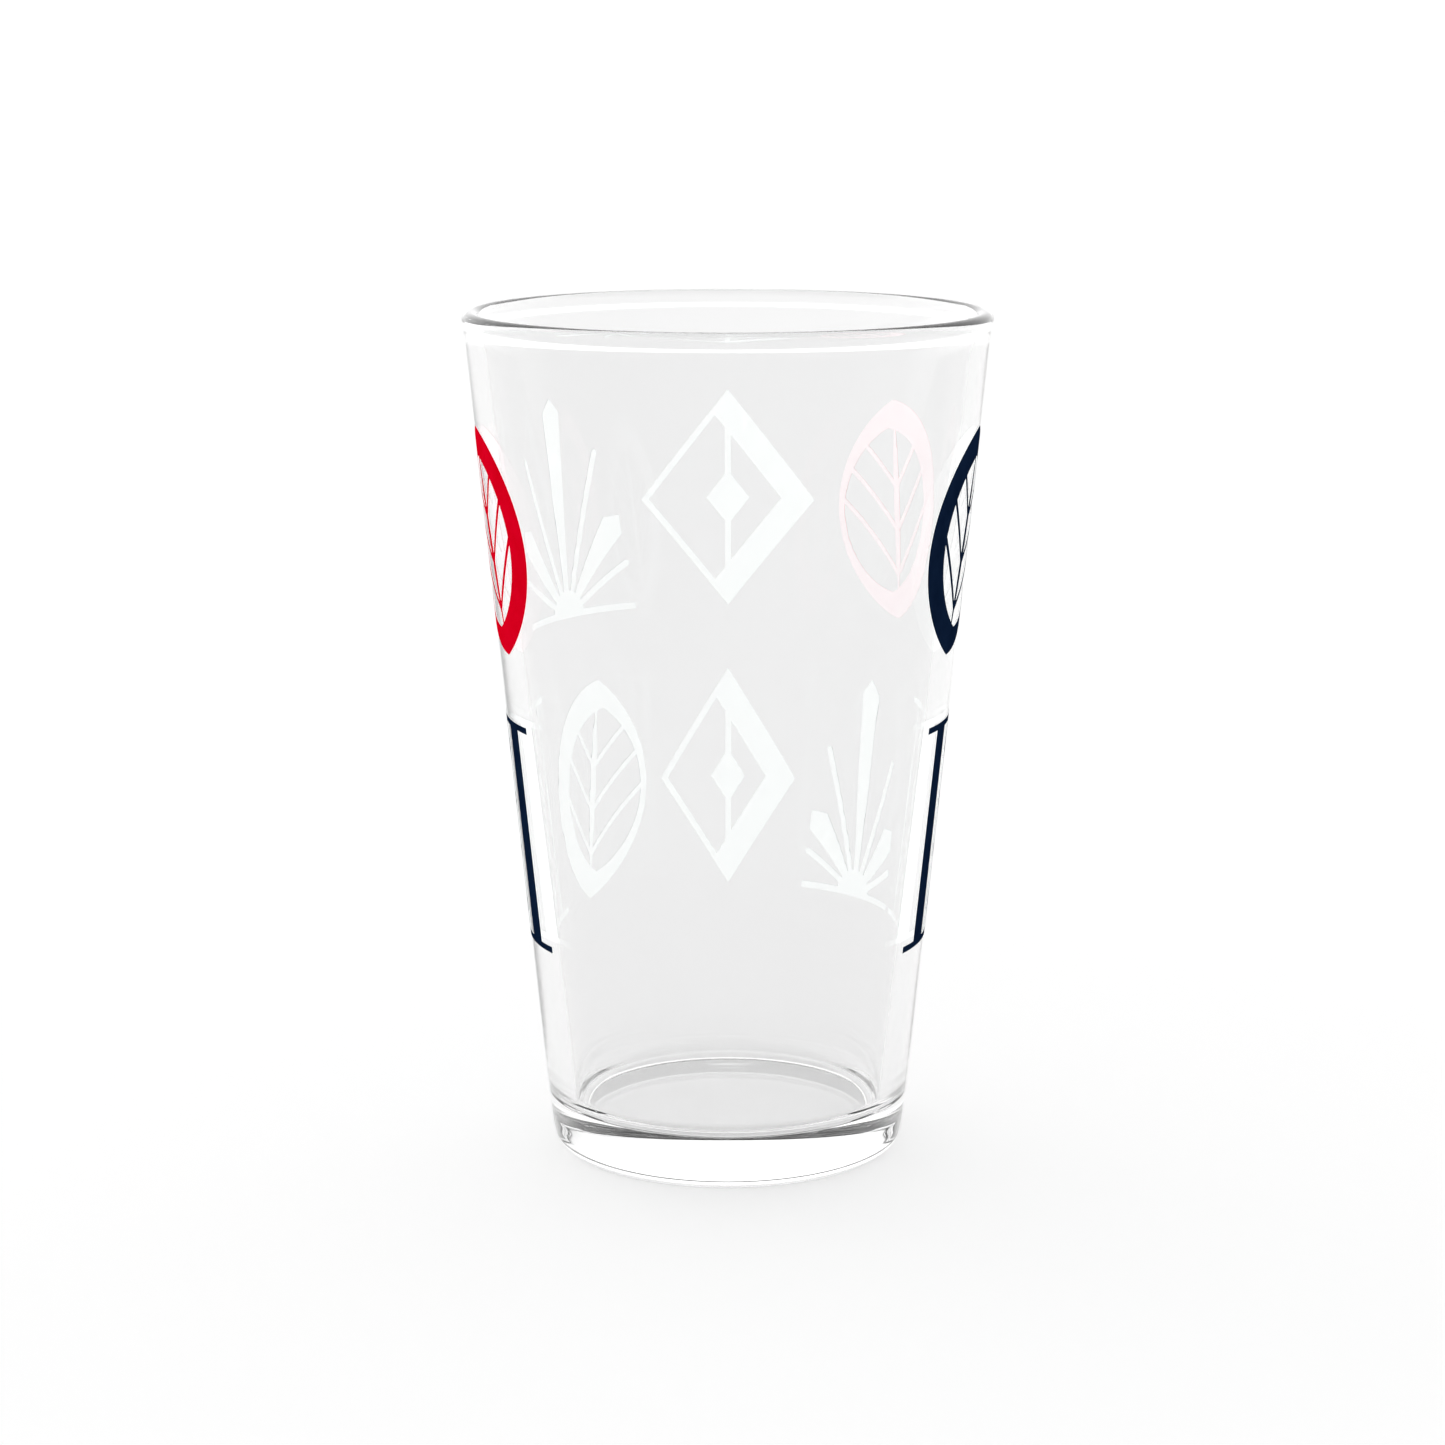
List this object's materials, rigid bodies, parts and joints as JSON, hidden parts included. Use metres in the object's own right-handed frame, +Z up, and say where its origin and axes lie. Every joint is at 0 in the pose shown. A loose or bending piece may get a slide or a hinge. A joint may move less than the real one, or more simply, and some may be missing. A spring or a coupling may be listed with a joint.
{
  "type": "pint glass",
  "caption": "Conical pint glass with a rounded rim and a thick clear base, carrying a two-row printed wrap of navy and red ornaments on a white underbase.",
  "frame": {"origin": "centre of the base on the surface that the glass stands on", "axes": "+Z up along the glass's axis; the unprinted gap in the wrap faces -Y, and +X is to the right when looking at the gap"},
  "size_m": [0.0888, 0.0888, 0.1444],
  "materials": {
    "glass": "clear pressed soda-lime glass, fire-polished rim",
    "white_underbase": "opaque white printed film, seen through the glass from inside",
    "navy_ink": "glossy navy printed ink",
    "red_ink": "glossy red printed ink"
  },
  "bodies": {
    "root": {"glass_body": "glass", "upper_1_leaf_white": "white_underbase", "upper_1_leaf_navy": "navy_ink", "upper_2_leaf_white": "white_underbase", "upper_2_leaf_red": "red_ink", "upper_3_lozenge_white": "white_underbase", "upper_3_lozenge_navy": "navy_ink", "upper_4_fan_white": "white_underbase", "upper_4_fan_navy": "navy_ink", "upper_5_leaf_white": "white_underbase", "upper_5_leaf_red": "red_ink", "lower_1_pillar_white": "white_underbase", "lower_1_pillar_navy": "navy_ink", "lower_2_fan_white": "white_underbase", "lower_2_fan_navy": "navy_ink", "lower_3_lozenge_white": "white_underbase", "lower_3_lozenge_navy": "navy_ink", "lower_4_leaf_white": "white_underbase", "lower_4_leaf_navy": "navy_ink", "lower_5_pillar_white": "white_underbase", "lower_5_pillar_navy": "navy_ink"}
  },
  "joints": []
}
